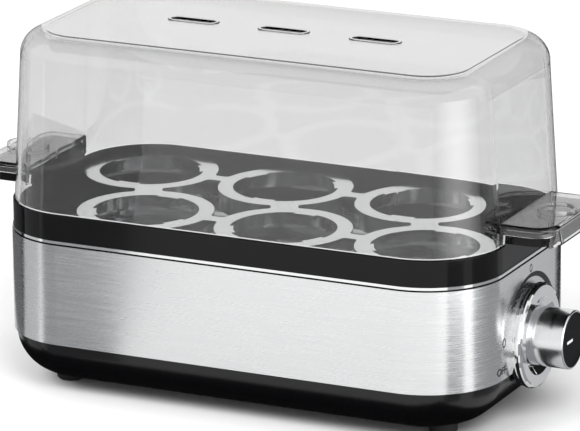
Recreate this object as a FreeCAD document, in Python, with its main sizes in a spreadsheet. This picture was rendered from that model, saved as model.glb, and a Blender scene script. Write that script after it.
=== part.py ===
import FreeCAD, Part
import math
import os
import Sketcher
from FreeCAD import Placement, Rotation, Vector
from types import SimpleNamespace

# Household boiler for six eggs: a brushed steel body on a black base, a black rim with the water bowl,
# a lift-out tray with six egg rings, a clear lid with a hood over each side lug, and a rotary control.
# Millimetres. Z is up, X runs to the end with the knob, and the floor under the body's middle is zero.

doc = FreeCAD.newDocument("egg_boiler")
sheet = doc.addObject("Spreadsheet::Sheet", "sizes")
sheet_lines = []
size = SimpleNamespace()
pieces = []
same_height_share = 1e-6


class Size:
    """A number together with the expression of sheet cells that gives it."""

    def __init__(self, number, text):
        self.number = number
        self.text = text

    def __add__(self, other):
        other = as_size(other)
        return Size(self.number + other.number, f"({self.text} + {other.text})")

    def __sub__(self, other):
        other = as_size(other)
        return Size(self.number - other.number, f"({self.text} - {other.text})")

    def __mul__(self, other):
        other = as_size(other)
        return Size(self.number * other.number, f"({self.text} * {other.text})")

    def __truediv__(self, other):
        other = as_size(other)
        return Size(self.number / other.number, f"({self.text} / {other.text})")

    def __neg__(self):
        return -1 * self

    def __radd__(self, other):
        return as_size(other) + self

    def __rsub__(self, other):
        return as_size(other) - self

    def __rmul__(self, other):
        return as_size(other) * self


def as_size(amount):
    """A size as it is, or a plain number as a size."""
    return amount if isinstance(amount, Size) else Size(amount, str(amount))


def hypotenuse(first, second):
    """The long side over two sizes at a right angle."""
    return Size(math.hypot(first.number, second.number), f"sqrt({first.text} ^ 2 + {second.text} ^ 2)")


def slope(rise, run):
    """The angle of a line with this rise and run, in degrees."""
    return Size(math.degrees(math.atan2(rise.number, run.number)), f"atan2({rise.text}; {run.text})")


def add_sizes(title, values):
    """Writes a titled group of sizes to the sheet and keeps each one under its name."""
    sheet_lines.append(title)
    sheet.set(f"A{len(sheet_lines)}", title)
    for name, number in values.items():
        sheet_lines.append(name)
        sheet.set(f"A{len(sheet_lines)}", name)
        sheet.set(f"B{len(sheet_lines)}", str(number))
        sheet.setAlias(f"B{len(sheet_lines)}", name)
    sheet.recompute()
    for name in values:
        setattr(size, name, Size(float(sheet.get(name)), f"sizes.{name}"))


def bind(thing, **properties):
    """Ties properties to sizes; a double underscore in a property's name stands for a dot."""
    for name, amount in properties.items():
        thing.setExpression(name.replace("__", "."), as_size(amount).text)
    return thing


def place(thing, x=0, y=0, z=0):
    """Ties an object's position to sizes."""
    return bind(thing, Placement__Base__x=x, Placement__Base__y=y, Placement__Base__z=z)


def turn(thing, angle):
    """Turns an object about the upright axis, in degrees."""
    thing.Placement = Placement(Vector(), Rotation(Vector(0, 0, 1), angle))
    return thing


def box(name, length, width, height, x=0, y=0, z=0):
    """A box centred on x and y, standing on z."""
    thing = bind(doc.addObject("Part::Box", name), Length=length, Width=width, Height=height)
    return place(thing, x - length / 2, y - width / 2, z)


def along_axis(thing, axis, x, y, z):
    """Lays an upright object along one axis, from its start point."""
    turns = {"X": Rotation(Vector(0, 1, 0), 90), "Y": Rotation(Vector(1, 0, 0), -90), "Z": Rotation()}
    thing.Placement = Placement(Vector(), turns[axis])
    return place(thing, x, y, z)


def cylinder(name, radius, height, x=0, y=0, z=0, axis="Z"):
    """A cylinder from its start point along one axis."""
    thing = bind(doc.addObject("Part::Cylinder", name), Radius=radius, Height=height)
    return along_axis(thing, axis, x, y, z)


def hexagon(name, radius, height, x=0, y=0, z=0, axis="Z"):
    """A six-sided block from its start point along one axis."""
    thing = bind(doc.addObject("Part::Prism", name), Circumradius=radius, Height=height)
    thing.Polygon = 6
    return along_axis(thing, axis, x, y, z)


def fuse(name, *shapes):
    """All the shapes joined."""
    thing = doc.addObject("Part::MultiFuse", name)
    thing.Shapes = list(shapes)
    return thing


def cut(name, base, *tools):
    """The base less all the tools."""
    thing = doc.addObject("Part::Cut", name)
    thing.Base = base
    thing.Tool = tools[0] if len(tools) == 1 else fuse(name + "_tools", *tools)
    return thing


def group(name, shapes):
    """Separate solids kept together as one object."""
    thing = doc.addObject("Part::Compound", name)
    thing.Links = list(shapes)
    return thing


def piece(name, thing):
    """Names the object that a sub-part is written from."""
    thing.Label = name
    pieces.append(thing)
    return thing


def body_sketch(body, name, role, offset=0, up=0):
    """A sketch on one of the body's own planes, moved along its normal and up within it."""
    sketch = body.newObject("Sketcher::SketchObject", name)
    plane = [feature for feature in body.Origin.OriginFeatures if feature.Role == role][0]
    sketch.AttachmentSupport = (plane, [""])
    sketch.MapMode = "FlatFace"
    return bind(sketch, AttachmentOffset__Base__y=up, AttachmentOffset__Base__z=offset)


def hold(sketch, amount, kind, *places):
    """Adds a dimension to a sketch and ties it to a size."""
    index = sketch.addConstraint(Sketcher.Constraint(kind, *places, amount.number))
    sketch.setExpression(f"Constraints[{index}]", amount.text)


def join_lines(sketch, arcs, directions):
    """Joins arcs in their order by lines, each tangent to the arc before and the arc after."""
    for number, direction in enumerate(directions):
        following = (number + 1) % arcs
        line = sketch.addGeometry(Part.LineSegment(sketch.getPoint(number, 2), sketch.getPoint(following, 1)))
        sketch.addConstraint(Sketcher.Constraint("Tangent", number, 2, line, 1))
        sketch.addConstraint(Sketcher.Constraint("Tangent", line, 2, following, 1))
        if direction:
            sketch.addConstraint(Sketcher.Constraint(direction, line))
    for number in range(1, arcs):
        sketch.addConstraint(Sketcher.Constraint("Equal", 0, number))


def draw_rounded_rectangle(sketch, length, depth, radius):
    """Four arcs and four lines, centred on the sketch's origin."""
    reach_x = length / 2 - radius
    reach_y = depth / 2 - radius
    for number, (side_x, side_y) in enumerate(((1, 1), (-1, 1), (-1, -1), (1, -1))):
        middle = Vector(side_x * reach_x.number, side_y * reach_y.number, 0)
        circle = Part.Circle(middle, Vector(0, 0, 1), radius.number)
        start = number * math.pi / 2
        sketch.addGeometry(Part.ArcOfCircle(circle, start, start + math.pi / 2))
    join_lines(sketch, 4, ("Horizontal", "Vertical", "Horizontal", "Vertical"))
    sketch.addConstraint(Sketcher.Constraint("Symmetric", 0, 3, 2, 3, -1, 1))
    hold(sketch, 2 * reach_x, "DistanceX", 2, 3, 3, 3)
    hold(sketch, 2 * reach_y, "DistanceY", 2, 3, 1, 3)
    hold(sketch, radius, "Radius", 0)


def draw_slot(sketch, length, width):
    """Two half circles and two lines, centred on the sketch's origin."""
    reach = (length - width) / 2
    for side in (1, -1):
        circle = Part.Circle(Vector(side * reach.number, 0, 0), Vector(0, 0, 1), width.number / 2)
        start = -side * math.pi / 2
        sketch.addGeometry(Part.ArcOfCircle(circle, start, start + math.pi))
    join_lines(sketch, 2, ("Horizontal", None))
    sketch.addConstraint(Sketcher.Constraint("Symmetric", 0, 3, 1, 3, -1, 1))
    hold(sketch, 2 * reach, "DistanceX", 1, 3, 0, 3)
    hold(sketch, width / 2, "Radius", 0)


def draw_outline(sketch, points):
    """A closed outline of straight lines through points given as pairs of sizes."""
    corners = [(as_size(x), as_size(y)) for x, y in points]
    spots = [Vector(x.number, y.number, 0) for x, y in corners]
    for number, spot in enumerate(spots):
        sketch.addGeometry(Part.LineSegment(spot, spots[(number + 1) % len(spots)]))
    for number, (x, y) in enumerate(corners):
        before = (number - 1) % len(corners)
        sketch.addConstraint(Sketcher.Constraint("Coincident", number, 1, before, 2))
        hold(sketch, x, "DistanceX", -1, 1, number, 1)
        hold(sketch, y, "DistanceY", -1, 1, number, 1)


def level_edges(shape, height):
    """Names of the edges that lie level at a height."""
    near = shape.BoundBox.DiagonalLength * same_height_share
    found = []
    for number, edge in enumerate(shape.Edges, 1):
        limits = edge.BoundBox
        if abs(limits.ZMin - height) < near and abs(limits.ZMax - height) < near:
            found.append(f"Edge{number}")
    return found


def round_level_edges(body, feature, height, radius):
    """Rounds the level edges of a body's feature at one height."""
    doc.recompute()
    rounded = body.newObject("PartDesign::Fillet", feature.Name + "_round")
    rounded.Base = (feature, level_edges(feature.Shape, height.number))
    return bind(rounded, Radius=radius)


def pad(body, sketch, depth):
    """Pads a sketch of the body."""
    feature = body.newObject("PartDesign::Pad", body.Name + "_pad")
    feature.Profile = sketch
    return bind(feature, Length=depth)


def prism(name, outline, bottom, top, round_top=None, round_bottom=None):
    """An upright body with a rounded rectangle as its plan, from one height to another."""
    body = doc.addObject("PartDesign::Body", name)
    sketch = body_sketch(body, name + "_plan", "XY_Plane", offset=bottom)
    draw_rounded_rectangle(sketch, *outline)
    last = pad(body, sketch, top - bottom)
    if round_top:
        last = round_level_edges(body, last, top, round_top)
    if round_bottom:
        last = round_level_edges(body, last, bottom, round_bottom)
    body.Tip = last
    return body


def slot_prism(name, length, width, bottom, top, round_top=None):
    """An upright body with a round-ended slot as its plan, from one height to another."""
    body = doc.addObject("PartDesign::Body", name)
    sketch = body_sketch(body, name + "_plan", "XY_Plane", offset=bottom)
    draw_slot(sketch, length, width)
    last = pad(body, sketch, top - bottom)
    if round_top:
        last = round_level_edges(body, last, top, round_top)
    body.Tip = last
    return body


def drafted(name, low_outline, low, high_outline, shoulder, top, round_top):
    """An upright body that narrows evenly from its foot to its shoulder, with a rounded edge above that."""
    body = doc.addObject("PartDesign::Body", name)
    foot = body_sketch(body, name + "_foot", "XY_Plane", offset=low)
    draw_rounded_rectangle(foot, *low_outline)
    head = body_sketch(body, name + "_head", "XY_Plane", offset=shoulder)
    draw_rounded_rectangle(head, *high_outline)
    walls = body.newObject("PartDesign::AdditiveLoft", name + "_walls")
    walls.Profile = foot
    walls.Sections = [head]
    walls.Ruled = True
    cap_plan = body_sketch(body, name + "_cap_plan", "XY_Plane", offset=shoulder)
    draw_rounded_rectangle(cap_plan, *high_outline)
    cap = pad(body, cap_plan, top - shoulder)
    body.Tip = round_level_edges(body, cap, top, round_top)
    return body


def spun(name, role, axis, points, offset=0, up=0):
    """A turned body: an outline in one of the body's planes, spun round one of the sketch's axes."""
    body = doc.addObject("PartDesign::Body", name)
    sketch = body_sketch(body, name + "_profile", role, offset=offset, up=up)
    draw_outline(sketch, points)
    feature = body.newObject("PartDesign::Revolution", name + "_spin")
    feature.Profile = sketch
    feature.ReferenceAxis = (sketch, [axis])
    feature.Angle = 360
    body.Tip = feature
    return body


def screw(name, radius, head_radius, head_height, x, y, seat, length, upward=True):
    """A cylinder-head screw whose head rests on a seat and whose shank runs up or down from there."""
    if upward:
        head = cylinder(name + "_head", head_radius, head_height, x, y, seat - head_height)
        shank = cylinder(name + "_shank", radius, length, x, y, seat)
    else:
        head = cylinder(name + "_head", head_radius, head_height, x, y, seat)
        shank = cylinder(name + "_shank", radius, length, x, y, seat - length)
    return fuse(name, head, shank)


def at_corners(x, y):
    """The four places at plus and minus x and y."""
    return [(x, y), (x, -y), (-x, y), (-x, -y)]


# Heights, from the floor up, and the plan outline that every shell of the body follows.

body_sizes = {
    "body_length": 220.0,
    "body_depth": 120.0,
    "body_corner": 33.5,
    "foot_height": 4.6,
    "base_height": 19.0,
    "band_height": 43.0,
    "band_gap": 0.65,
    "strip_height": 1.15,
    "rim_height": 11.2,
    "overrun": 1.0,
}
add_sizes("body", body_sizes)
base_bottom = size.foot_height
band_bottom = base_bottom + size.base_height
band_top = band_bottom + size.band_height
strip_bottom = band_top + size.band_gap
rim_bottom = strip_bottom + size.strip_height
rim_top = rim_bottom + size.rim_height
body_end = size.body_length / 2
body_side = size.body_depth / 2


def outline(inset):
    """The body's plan outline, moved inwards."""
    return size.body_length - 2 * inset, size.body_depth - 2 * inset, size.body_corner - inset


# Places that several pieces share: the knob's axis, the long screws and the feet.

shared_places_sizes = {
    "knob_axis_height": 35.3,
    "post_end_inset": 48.0,
    "post_side_share": 0.5,
    "foot_end_inset": 24.6,
    "foot_side_inset": 28.6,
}
add_sizes("shared places", shared_places_sizes)
post_x = body_end - size.post_end_inset
post_y = body_side * size.post_side_share
foot_x = body_end - size.foot_end_inset
foot_y = body_side - size.foot_side_inset
posts = at_corners(post_x, post_y)
foot_places = at_corners(foot_x, foot_y)

# Levels inside the rim, and of the bowl, the element, the clamp bars and the heat shield below it.

bowl_levels_sizes = {
    "tray_ledge_depth": 11.1,
    "bowl_ledge_drop": 3.8,
    "bowl_ledge_thickness": 2.0,
    "bowl_opening_inset": 13.5,
    "gasket_thickness": 1.0,
    "bowl_thickness": 1.0,
    "bowl_depth": 10.0,
    "element_radius": 3.25,
    "bar_thickness": 1.5,
    "shield_thickness": 0.8,
}
add_sizes("bowl levels", bowl_levels_sizes)
tray_ledge = rim_top - size.tray_ledge_depth
bowl_ledge = tray_ledge - size.bowl_ledge_drop
gasket_top = bowl_ledge - size.bowl_ledge_thickness
bowl_top = gasket_top - size.gasket_thickness
bowl_underside = bowl_top - size.bowl_depth - size.bowl_thickness
bar_top = bowl_underside - 2 * size.element_radius
bar_bottom = bar_top - size.bar_thickness
shield_bottom = bar_bottom - size.shield_thickness

# Screws: the long ones through the base and the ones that hold the clamp bars share a thread.

screws_sizes = {
    "screw_radius": 1.5,
    "screw_grip": 0.05,
    "screw_play": 0.25,
    "screw_head_radius": 2.8,
    "screw_head_height": 2.0,
    "base_screw_head_radius": 3.4,
    "base_screw_sink": 8.0,
    "base_screw_tail": 2.5,
    "bar_screw_length": 10.5,
    "small_screw_radius": 1.2,
    "small_screw_head_radius": 2.3,
    "small_screw_head_height": 1.5,
    "small_screw_length": 6.0,
}
add_sizes("screws", screws_sizes)
screw_seat = base_bottom + size.base_screw_sink
thread_hole = size.screw_radius + size.screw_grip
small_thread_hole = size.small_screw_radius + size.screw_grip
screw_hole = size.screw_radius + size.screw_play
small_screw_hole = size.small_screw_radius + size.screw_play

# Rubber feet: a disc under the base, with a stem pushed into a hole in its floor.

feet_sizes = {
    "foot_radius": 6.0,
    "foot_bevel": 0.8,
    "foot_stem_radius": 2.9,
    "foot_stem_play": 0.1,
    "base_wall": 2.5,
}
add_sizes("feet", feet_sizes)
floor = base_bottom + size.base_wall
feet = []
for number, (x, y) in enumerate(foot_places):
    foot = spun(f"foot_{number}", "XZ_Plane", "V_Axis", [
        (0, 0),
        (size.foot_radius - size.foot_bevel, 0),
        (size.foot_radius, size.foot_bevel),
        (size.foot_radius, base_bottom),
        (size.foot_stem_radius, base_bottom),
        (size.foot_stem_radius, floor),
        (0, floor),
    ])
    feet.append(place(foot, x, y))
piece("rubber_feet", group("feet", feet))

# Base pan: a moulded tray whose sides curve in to a flat underside. Its wall runs on inside the steel
# band, and it carries the screw posts, the board's and bracket's bosses and the seat of the cord gland.

base_pan_sizes = {
    "base_inset": 1.1,
    "base_curve": 18.9,
    "base_spigot": 6.0,
    "post_radius": 4.2,
    "post_cup_wall": 1.6,
    "boss_radius": 3.0,
    "boss_hole_depth": 7.0,
    "board_start": 12.0,
    "board_post_gap": 10.0,
    "board_width": 54.0,
    "board_height": 11.4,
    "board_hole_edge": 5.0,
    "board_thickness": 1.6,
    "bracket_setback": 7.0,
    "bracket_boss_setback": 12.0,
    "bracket_boss_y": 9.0,
    "bracket_height": 15.4,
    "shaft_notch_radius": 10.8,
    "gland_end_inset": 44.0,
    "gland_height": 15.0,
    "gland_seat_inset": 3.6,
    "gland_boss_radius": 8.4,
    "gland_boss_depth": 9.0,
    "gland_radius": 5.4,
    "gland_fit": 0.1,
    "gland_flange_radius": 7.2,
    "gland_nut_radius": 7.0,
    "gland_nut_height": 3.0,
    "gland_seat_play": 0.3,
    "vent_count": 7,
    "vent_length": 24.0,
    "vent_width": 3.0,
    "vent_pitch": 7.0,
}
add_sizes("base pan", base_pan_sizes)
board_bottom = base_bottom + size.board_height
board_top = board_bottom + size.board_thickness
bracket_bottom = base_bottom + size.bracket_height
spigot_top = band_bottom + size.base_spigot
in_floor = base_bottom + size.base_wall / 2
board_end = post_x - size.board_post_gap
board_length = board_end + size.board_start
board_x = (board_end - size.board_start) / 2
bracket_x = body_end - size.bracket_setback
bracket_boss_x = bracket_x - size.bracket_boss_setback
gland_x = body_end - size.gland_end_inset
gland_seat_y = body_side - size.gland_seat_inset
gland_inner_face = gland_seat_y - size.gland_boss_depth
board_reach_x = board_length / 2 - size.board_hole_edge
board_reach_y = size.board_width / 2 - size.board_hole_edge
board_corners = [(board_x + x, y) for x, y in at_corners(board_reach_x, board_reach_y)]
bracket_places = [(bracket_boss_x, side * size.bracket_boss_y) for side in (1, -1)]

pan_outside = prism("pan_outside", outline(size.base_inset), base_bottom, spigot_top,
                    round_bottom=size.base_curve)
pan_inside = prism("pan_inside", outline(size.base_inset + size.base_wall), floor,
                   spigot_top + size.overrun, round_bottom=size.base_curve - size.base_wall)
pan_parts = [cut("pan_shell", pan_outside, pan_inside)]
pan_holes = []
for number, (x, y) in enumerate(posts):
    cup_radius = size.base_screw_head_radius + size.post_cup_wall
    pan_parts.append(cylinder(f"post_{number}", size.post_radius, bar_bottom - in_floor, x, y, in_floor))
    pan_parts.append(cylinder(f"post_cup_{number}", cup_radius, screw_seat + size.post_cup_wall - in_floor,
                              x, y, in_floor))
    pan_holes.append(cylinder(f"post_bore_{number}", screw_hole, bar_bottom + 2 * size.overrun,
                              x, y, -size.overrun))
    pan_holes.append(cylinder(f"post_sink_{number}", size.base_screw_head_radius + size.screw_play,
                              screw_seat + size.overrun, x, y, -size.overrun))
for number, (x, y) in enumerate(board_corners):
    pan_parts.append(cylinder(f"board_boss_{number}", size.boss_radius, board_bottom - in_floor,
                              x, y, in_floor))
    pan_holes.append(cylinder(f"board_thread_{number}", small_thread_hole,
                              size.boss_hole_depth + size.overrun, x, y, board_bottom - size.boss_hole_depth))
for number, (x, y) in enumerate(bracket_places):
    pan_parts.append(cylinder(f"bracket_boss_{number}", size.boss_radius, bracket_bottom - in_floor,
                              x, y, in_floor))
    pan_holes.append(cylinder(f"bracket_thread_{number}", small_thread_hole,
                              size.boss_hole_depth + size.overrun, x, y,
                              bracket_bottom - size.boss_hole_depth))
for number, (x, y) in enumerate(foot_places):
    pan_holes.append(cylinder(f"foot_hole_{number}", size.foot_stem_radius + size.foot_stem_play,
                              floor + 2 * size.overrun, x, y, -size.overrun))
pan_parts.append(cylinder("gland_boss", size.gland_boss_radius, size.gland_boss_depth,
                          -gland_x, gland_inner_face, size.gland_height, axis="Y"))
pan_holes.append(cylinder("gland_hole", size.gland_radius + size.gland_fit,
                          size.gland_boss_depth + 2 * size.overrun,
                          -gland_x, gland_inner_face - size.overrun, size.gland_height, axis="Y"))
pan_holes.append(cylinder("gland_flange_space", size.gland_flange_radius + size.gland_seat_play,
                          body_side - gland_seat_y,
                          -gland_x, gland_seat_y, size.gland_height, axis="Y"))
pan_holes.append(cylinder("gland_nut_space", size.gland_nut_radius + size.gland_seat_play,
                          size.gland_nut_height + size.overrun, -gland_x,
                          gland_inner_face - size.gland_nut_height - size.overrun,
                          size.gland_height, axis="Y"))
pan_holes.append(cylinder("shaft_notch", size.shaft_notch_radius, size.body_length,
                          0, 0, size.knob_axis_height, axis="X"))

vents = doc.addObject("PartDesign::Body", "vents")
vent_plan = body_sketch(vents, "vent_plan", "XY_Plane", offset=-size.overrun)
draw_slot(vent_plan, size.vent_length, size.vent_width)
vent_pad = pad(vents, vent_plan, floor + 2 * size.overrun)
vent_row = vents.newObject("PartDesign::LinearPattern", "vent_row")
vent_row.Originals = [vent_pad]
vent_row.Direction = (vent_plan, ["V_Axis"])
bind(vent_row, Length=size.vent_pitch * (size.vent_count - 1), Occurrences=size.vent_count)
vents.Tip = vent_row
turn(vents, 90)
place(vents, -post_x / 2 + size.vent_pitch * (size.vent_count - 1) / 2)

piece("base_pan", cut("pan", fuse("pan_solid", *pan_parts), *pan_holes, vents))

# Steel band: one wrap of brushed stainless sheet round the body, with a round hole for the bezel.

steel_band_sizes = {
    "band_thickness": 0.8,
    "bezel_hole_radius": 10.1,
}
add_sizes("steel band", steel_band_sizes)
band_outside = prism("band_outside", outline(0), band_bottom, band_top)
band_inside = prism("band_inside", outline(size.band_thickness), band_bottom - size.overrun,
                    band_top + size.overrun)
bezel_hole = cylinder("bezel_hole", size.bezel_hole_radius, size.body_length, 0, 0, size.knob_axis_height,
                      axis="X")
piece("steel_band", cut("band", band_outside, band_inside, bezel_hole))

# Trim strip: a bright metal hoop in a groove under the rim.

trim_strip_sizes = {
    "strip_inset": 0.3,
    "strip_width": 1.8,
    "strip_fit": 0.1,
}
add_sizes("trim strip", trim_strip_sizes)
strip_inner_inset = size.strip_inset + size.strip_width
strip_outside = prism("strip_outside", outline(size.strip_inset), strip_bottom, rim_bottom)
strip_inside = prism("strip_inside", outline(strip_inner_inset), strip_bottom - size.overrun,
                     rim_bottom + size.overrun)
piece("trim_strip", cut("strip", strip_outside, strip_inside))

# Upper rim: the black collar on the steel. Ledges step down inside it to the bowl, a wall stands up at
# each end under the lid's hood and runs out as a lug, and bosses below take the clamp bars' screws.

upper_rim_sizes = {
    "rim_inset": 0.6,
    "rim_wall": 2.2,
    "rim_step_depth": 2.0,
    "rim_step": 0.8,
    "tray_ledge_inset": 8.0,
    "rim_skirt_height": 8.0,
    "rim_skirt_fit": 0.3,
    "rim_skirt_wall": 2.4,
    "rim_skirt_drop": 0.2,
    "rim_edge_round": 0.5,
    "rim_boss_radius": 3.5,
    "rim_boss_inset": 7.4,
    "lug_length": 18.0,
    "lug_half_width": 24.5,
    "lug_corner": 7.5,
    "lug_rise": 6.6,
    "lug_lift": 0.8,
    "lug_wall": 2.2,
    "lug_edge_round": 1.0,
}
add_sizes("upper rim", upper_rim_sizes)
skirt_top = band_top - size.rim_skirt_drop
skirt_bottom = skirt_top - size.rim_skirt_height
rim_boss_y = body_side - size.rim_boss_inset
lug_reach = body_end + size.lug_length
lug_top = rim_top + size.lug_rise
lug_bottom = rim_top + size.lug_lift
rim_end = body_end - size.rim_inset
skirt_inset = size.band_thickness + size.rim_skirt_fit
mouth_inset = size.rim_inset + size.rim_wall
collar = prism("rim_collar", outline(size.rim_inset), rim_bottom, rim_top, round_top=size.rim_edge_round)
neck = prism("rim_neck", outline(strip_inner_inset + size.strip_fit), skirt_bottom,
             rim_bottom + size.overrun)
skirt = prism("rim_skirt", outline(skirt_inset), skirt_bottom, skirt_top)
lug_block = prism("lug_block", (2 * lug_reach, 2 * size.lug_half_width, size.lug_corner),
                  lug_bottom, lug_top, round_top=size.lug_edge_round)
lug_hollow = prism("lug_hollow", (2 * (lug_reach - size.lug_wall),
                                  2 * (size.lug_half_width - size.lug_wall), size.lug_corner - size.lug_wall),
                   lug_bottom - size.overrun, lug_top - size.lug_wall)
root_bottom = rim_top - size.rim_edge_round
lug_root = box("lug_root", 2 * rim_end, 2 * size.lug_half_width, lug_top - size.lug_wall / 2 - root_bottom,
               0, 0, root_bottom)
rim_holes = [
    prism("rim_mouth", outline(mouth_inset), rim_top - size.rim_step_depth, lug_top + size.overrun),
    prism("rim_tray_space", outline(mouth_inset + size.rim_step), tray_ledge, rim_top - size.rim_step_depth),
    prism("rim_ledge_hole", outline(size.tray_ledge_inset), bowl_ledge, rim_top),
    prism("rim_bowl_hole", outline(size.bowl_opening_inset), skirt_bottom - size.overrun, rim_top),
    prism("rim_under_hole", outline(skirt_inset + size.rim_skirt_wall), skirt_bottom - size.overrun,
          gasket_top),
]
rim_bosses = []
rim_threads = []
for number, (x, y) in enumerate(at_corners(post_x, rim_boss_y)):
    rim_bosses.append(cylinder(f"rim_boss_{number}", size.rim_boss_radius,
                               gasket_top + size.bowl_ledge_thickness / 2 - bar_top, x, y, bar_top))
    rim_threads.append(cylinder(f"rim_thread_{number}", thread_hole, size.bar_screw_length + size.overrun,
                                x, y, bar_top - size.overrun))
rim_solid = fuse("rim_solid", collar, neck, skirt, lug_root, cut("lugs", lug_block, lug_hollow))
rim_shell = cut("rim_shell", rim_solid, *rim_holes)
piece("upper_rim", cut("rim", fuse("rim_with_bosses", rim_shell, *rim_bosses), *rim_threads))

# Bowl gasket: a flat silicone ring between the rim's lowest ledge and the bowl's flange.

bowl_gasket_sizes = {
    "bowl_flange": 2.3,
    "gasket_inner_fit": 0.3,
}
add_sizes("bowl gasket", bowl_gasket_sizes)
flange_inset = size.bowl_opening_inset - size.bowl_flange
gasket_outside = prism("gasket_outside", outline(flange_inset), bowl_top, gasket_top)
gasket_inside = prism("gasket_inside", outline(size.bowl_opening_inset - size.gasket_inner_fit),
                      bowl_top - size.overrun, gasket_top + size.overrun)
piece("bowl_gasket", cut("gasket", gasket_outside, gasket_inside))

# Heating bowl: a pressed stainless dish with a flat flange.

heating_bowl_sizes = {
    "bowl_dish_step": 0.5,
    "bowl_round": 8.0,
}
add_sizes("heating bowl", heating_bowl_sizes)
dish_inset = size.bowl_opening_inset + size.bowl_dish_step
bowl_flange_plate = prism("bowl_flange_plate", outline(flange_inset), bowl_top - size.bowl_thickness,
                          bowl_top)
bowl_outside = prism("bowl_outside", outline(dish_inset), bowl_underside, bowl_top,
                     round_bottom=size.bowl_round)
bowl_inside = prism("bowl_inside", outline(dish_inset + size.bowl_thickness),
                    bowl_underside + size.bowl_thickness, bowl_top + size.overrun,
                    round_bottom=size.bowl_round - size.bowl_thickness)
piece("heating_bowl", cut("bowl", fuse("bowl_solid", bowl_flange_plate, bowl_outside), bowl_inside))

# Heating element: a tube bent to a U under the bowl, with a ceramic bead and a pin at each end.

heating_element_sizes = {
    "element_post_gap": 10.0,
    "element_setback": 16.0,
    "bead_radius": 2.6,
    "bead_length": 4.0,
    "bead_fit": 0.05,
    "pin_radius": 1.1,
    "pin_length": 9.0,
}
add_sizes("heating element", heating_element_sizes)
element_bend = post_y - size.element_post_gap
element_reach = post_x - size.element_setback
element_level = bowl_underside - size.element_radius
pin_end = element_reach + size.pin_length
element_parts = []
beads = []
pins = []
for number, side in enumerate((1, -1)):
    y = side * element_bend
    element_parts.append(cylinder(f"element_run_{number}", size.element_radius, 2 * element_reach,
                                  -element_reach, y, element_level, axis="X"))
    bead = cylinder(f"bead_{number}", size.bead_radius, size.bead_length, element_reach, y,
                    element_level, axis="X")
    bead_hole = cylinder(f"bead_hole_{number}", size.pin_radius + size.bead_fit,
                         size.bead_length + 2 * size.overrun, element_reach - size.overrun, y,
                         element_level, axis="X")
    beads.append(cut(f"bead_ring_{number}", bead, bead_hole))
    pins.append(cylinder(f"pin_{number}", size.pin_radius, size.pin_length, element_reach, y,
                         element_level, axis="X"))
element_turn = bind(doc.addObject("Part::Torus", "element_turn"), Radius1=element_bend,
                    Radius2=size.element_radius)
element_turn.Angle3 = 180
turn(element_turn, 90)
place(element_turn, -element_reach, 0, element_level)
piece("heating_element", fuse("element", *element_parts, element_turn))
piece("element_insulators", group("insulators", beads))
piece("element_pins", group("pin_pair", pins))

# Clamp bars: two steel straps that press the element and the bowl up against the rim, each held by two
# screws into the rim and, from below, by two long screws through the base pan's posts.

clamp_bars_sizes = {
    "bar_width": 12.0,
    "bar_end": 2.9,
}
add_sizes("clamp bars", clamp_bars_sizes)
bars = []
bar_screws = []
base_screws = []
for number, bar_side in enumerate((1, -1)):
    x = bar_side * post_x
    strap = box(f"strap_{number}", size.bar_width, 2 * (rim_boss_y + size.bar_end), size.bar_thickness,
                x, 0, bar_bottom)
    holes = []
    for end, side in enumerate((1, -1)):
        tag = f"{number}_{end}"
        rim_y = side * rim_boss_y
        post_y = side * post_y
        holes.append(cylinder(f"strap_hole_{tag}", screw_hole, size.bar_thickness + 2 * size.overrun,
                              x, rim_y, bar_bottom - size.overrun))
        holes.append(cylinder(f"strap_thread_{tag}", thread_hole, size.bar_thickness + 2 * size.overrun,
                              x, post_y, bar_bottom - size.overrun))
        bar_screws.append(screw(f"bar_screw_{tag}", size.screw_radius, size.screw_head_radius,
                                size.screw_head_height, x, rim_y, bar_bottom, size.bar_screw_length))
        base_screws.append(screw(f"base_screw_{tag}", size.screw_radius, size.base_screw_head_radius,
                                 size.screw_head_height, x, post_y, screw_seat,
                                 bar_top + size.base_screw_tail - screw_seat))
    bars.append(cut(f"bar_{number}", strap, *holes))
piece("clamp_bars", group("bars", bars))
piece("bar_screws", group("bar_screw_set", bar_screws))
piece("base_screws", group("base_screw_set", base_screws))

# Heat shield: a flat sheet under the bars that keeps the bowl's heat off the board, with a window for
# the thermostat's blades, a round hole over each post and one for each of the element's leads.

heat_shield_sizes = {
    "shield_end_inset": 22.0,
    "shield_side_inset": 14.0,
    "shield_corner": 14.0,
    "shield_hole_play": 0.4,
    "window_length": 20.0,
    "window_width": 12.0,
    "lead_end_inset": 32.0,
    "lead_hole_play": 1.0,
    "wire_radius": 1.2,
}
add_sizes("heat shield", heat_shield_sizes)
lead_x = body_end - size.lead_end_inset
shield_outline = (2 * (body_end - size.shield_end_inset), 2 * (body_side - size.shield_side_inset),
                  size.shield_corner)
shield_plate = prism("shield_plate", shield_outline, shield_bottom, bar_bottom)
shield_cut = size.shield_thickness + 2 * size.overrun
shield_holes = [cylinder(f"shield_hole_{number}", size.post_radius + size.shield_hole_play, shield_cut,
                         x, y, shield_bottom - size.overrun) for number, (x, y) in enumerate(posts)]
for number, side in enumerate((1, -1)):
    shield_holes.append(cylinder(f"lead_hole_{number}", size.wire_radius + size.lead_hole_play, shield_cut,
                                 lead_x, side * element_bend, shield_bottom - size.overrun))
window = box("window", size.window_length, size.window_width, shield_cut, 0, 0, shield_bottom - size.overrun)
piece("heat_shield", cut("shield", shield_plate, *shield_holes, window))

# Thermostat: a round snap switch under the middle of the bowl, with two blades through the window.

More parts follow.
